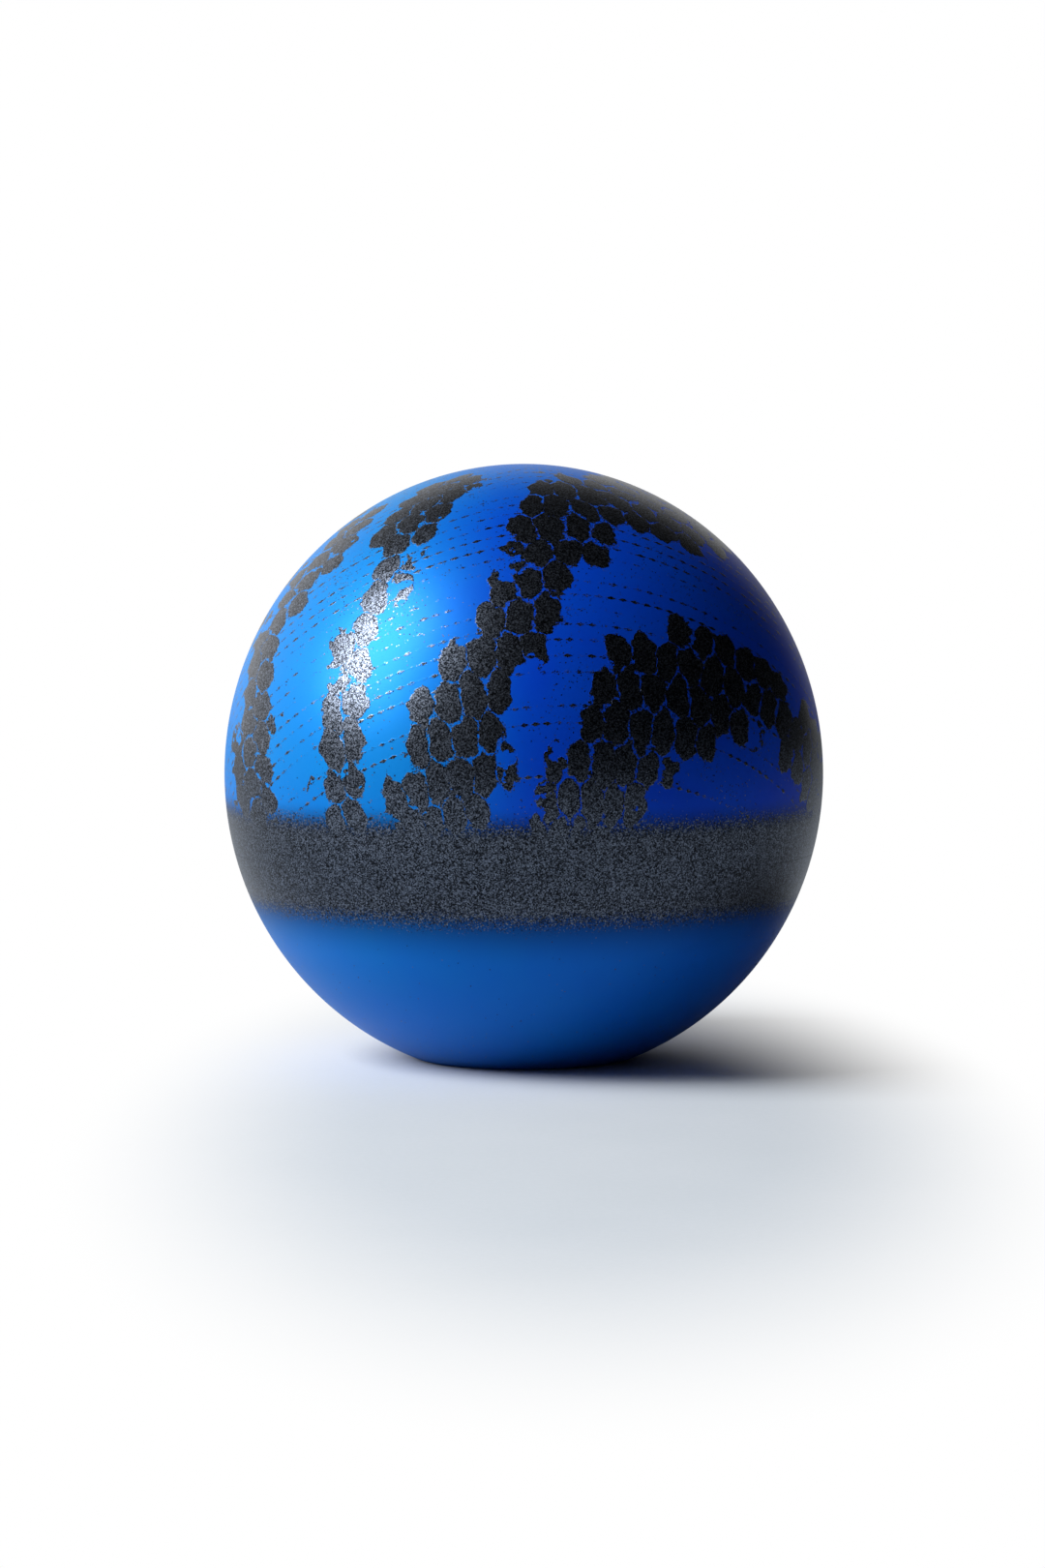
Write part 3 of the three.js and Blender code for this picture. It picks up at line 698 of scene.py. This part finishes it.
FLOOR_REACH = 3
FLOOR_LEVEL = -0.02 * MM
FLOOR_AS_REFLECTED = (0.46, 0.5, 0.55)  # the ball sees a darker floor than the camera does
LIT_PATCH = Vector((4, -45, 0)) * MM  # the floor shows around here, and fades to white outwards
LIT_PATCH_REACH = Vector((38, 115, 0)) * MM
KEY_PLACE = Vector((-0.58, -0.18, 0.52))
KEY_AIM = Vector((0, 0, 0.03))
KEY_SIZE = (0.42, 0.5)
KEY_POWER = 10.5


def floor_material():
    material, tree, shader = new_material("floor", Roughness=0.85)
    point = object_point(tree)
    grain = noise(tree, point, 1500, detail=4, roughness=0.7)
    mottle = noise(tree, point, 60)
    colour = mixed_colour(tree, grain * 0.6 + mottle * 0.4, (0.51, 0.56, 0.61), (0.6, 0.64, 0.69))
    seen = Field(tree, tree.nodes.new("ShaderNodeLightPath").outputs["Is Camera Ray"])
    tree.links.new(mixed_colour(tree, seen, FLOOR_AS_REFLECTED, colour), shader.inputs["Base Color"])

    x, y, _ = parts(tree, point)
    across = (x - LIT_PATCH.x) / LIT_PATCH_REACH.x
    away = (y - LIT_PATCH.y) / LIT_PATCH_REACH.y
    white = (across * across + away * away).root().rises(0.45, 1.2)
    glow = tree.nodes.new("ShaderNodeEmission")
    from_above = mixed_shader(tree, (white * seen).socket, shader, glow)
    from_below = tree.nodes.new("ShaderNodeBsdfTransparent")
    backfacing = tree.nodes.new("ShaderNodeNewGeometry").outputs["Backfacing"]
    one_sided = mixed_shader(tree, backfacing, from_above, from_below)
    tree.links.new(one_sided.outputs[0], tree.nodes["Material Output"].inputs["Surface"])
    return material


def make_floor():
    """A wide pale floor, clear from below. To the camera it fades to white away from the ball."""
    corners = [
        (x * FLOOR_REACH, y * FLOOR_REACH, FLOOR_LEVEL)
        for x, y in ((-1, -1), (1, -1), (1, 1), (-1, 1))
    ]
    mesh = bpy.data.meshes.new("floor")
    mesh.from_pydata(corners, [], [(0, 1, 2, 3)])
    mesh.materials.append(floor_material())
    floor = bpy.data.objects.new("floor", mesh)
    bpy.context.scene.collection.objects.link(floor)
    floor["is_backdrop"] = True


def make_key_light():
    data = bpy.data.lights.new("key", "AREA")
    data.shape = "RECTANGLE"
    data.size, data.size_y = KEY_SIZE
    data.energy = KEY_POWER
    light = bpy.data.objects.new("key", data)
    light.location = KEY_PLACE
    light.rotation_euler = (KEY_AIM - KEY_PLACE).to_track_quat("-Z", "Y").to_euler()
    bpy.context.scene.collection.objects.link(light)


def make_surroundings():
    """A white backdrop behind the ball, and a dark room in front of it. The camera sees white all round."""
    world = bpy.data.worlds.new("studio")
    world.use_nodes = True
    tree = world.node_tree
    x, y, z = parts(tree, tree.nodes.new("ShaderNodeTexCoord").outputs["Generated"])
    backdrop = (y - x * 0.6).rises(0.4, 1.0) * z.rises(0.8, 0.4) * 0.85
    ceiling = z.rises(0.5, 1.0) * 0.03
    left = x.rises(-0.1, -0.9) * 0.3
    seen = Field(tree, tree.nodes.new("ShaderNodeLightPath").outputs["Is Camera Ray"])
    strength = (backdrop + ceiling + left + 0.01).most(seen)
    feed(tree, tree.nodes["Background"].inputs["Strength"], strength)
    tree.nodes["Background"].inputs["Color"].default_value = (1, 1, 1, 1)
    bpy.context.scene.world = world


# ---- The pieces ----


OUTER_SKIN = 0.97  # faces further out than this are on the outside, over the ball's own size


def is_painted(place):
    """Paint covers the ball's outside and the well, but not the hollow inside."""
    radius = math.hypot(place.x, place.y)
    in_well = radius < WELL_RADIUS + WALL / 4 and place.z < WELL_DEPTH + WALL / 4
    up = place.z - WIDEST_HEIGHT
    spread = math.hypot(radius / BALL_RADIUS, up / (DOME_RISE if up > 0 else BOWL_DROP))
    return in_well or spread > OUTER_SKIN


def make_shell(name, outline, closed, node, paint):
    shell = lathe(name, outline, closed)
    shell.data.materials.append(paint)
    shell.data.materials.append(FINISHES["black_plastic"])
    for face in shell.data.polygons:
        face.material_index = 0 if is_painted(face.center) else 1
    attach(shell, "ball")
    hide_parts(node)


def make_eyelet():
    eyelet = lathe("turned_eyelet", eyelet_outline(), closed=True)
    eyelet.data.materials.append(FINISHES["brass"])
    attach(eyelet, "ball")
    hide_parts("string_eyelet")


make_camera()
make_floor()
make_surroundings()
make_key_light()

paint = shell_paint()
finish_inner_nodes()
make_shell("painted_dome", dome_outline(), False, "upper_shell", paint)
make_shell("painted_bowl", bowl_outline(), True, "lower_shell", paint)
make_eyelet()

bpy.context.scene.view_settings.view_transform = "Standard"

sizes = {"cad": [list(corner) for corner in CAD_BOX], "visual": [list(corner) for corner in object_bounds()]}
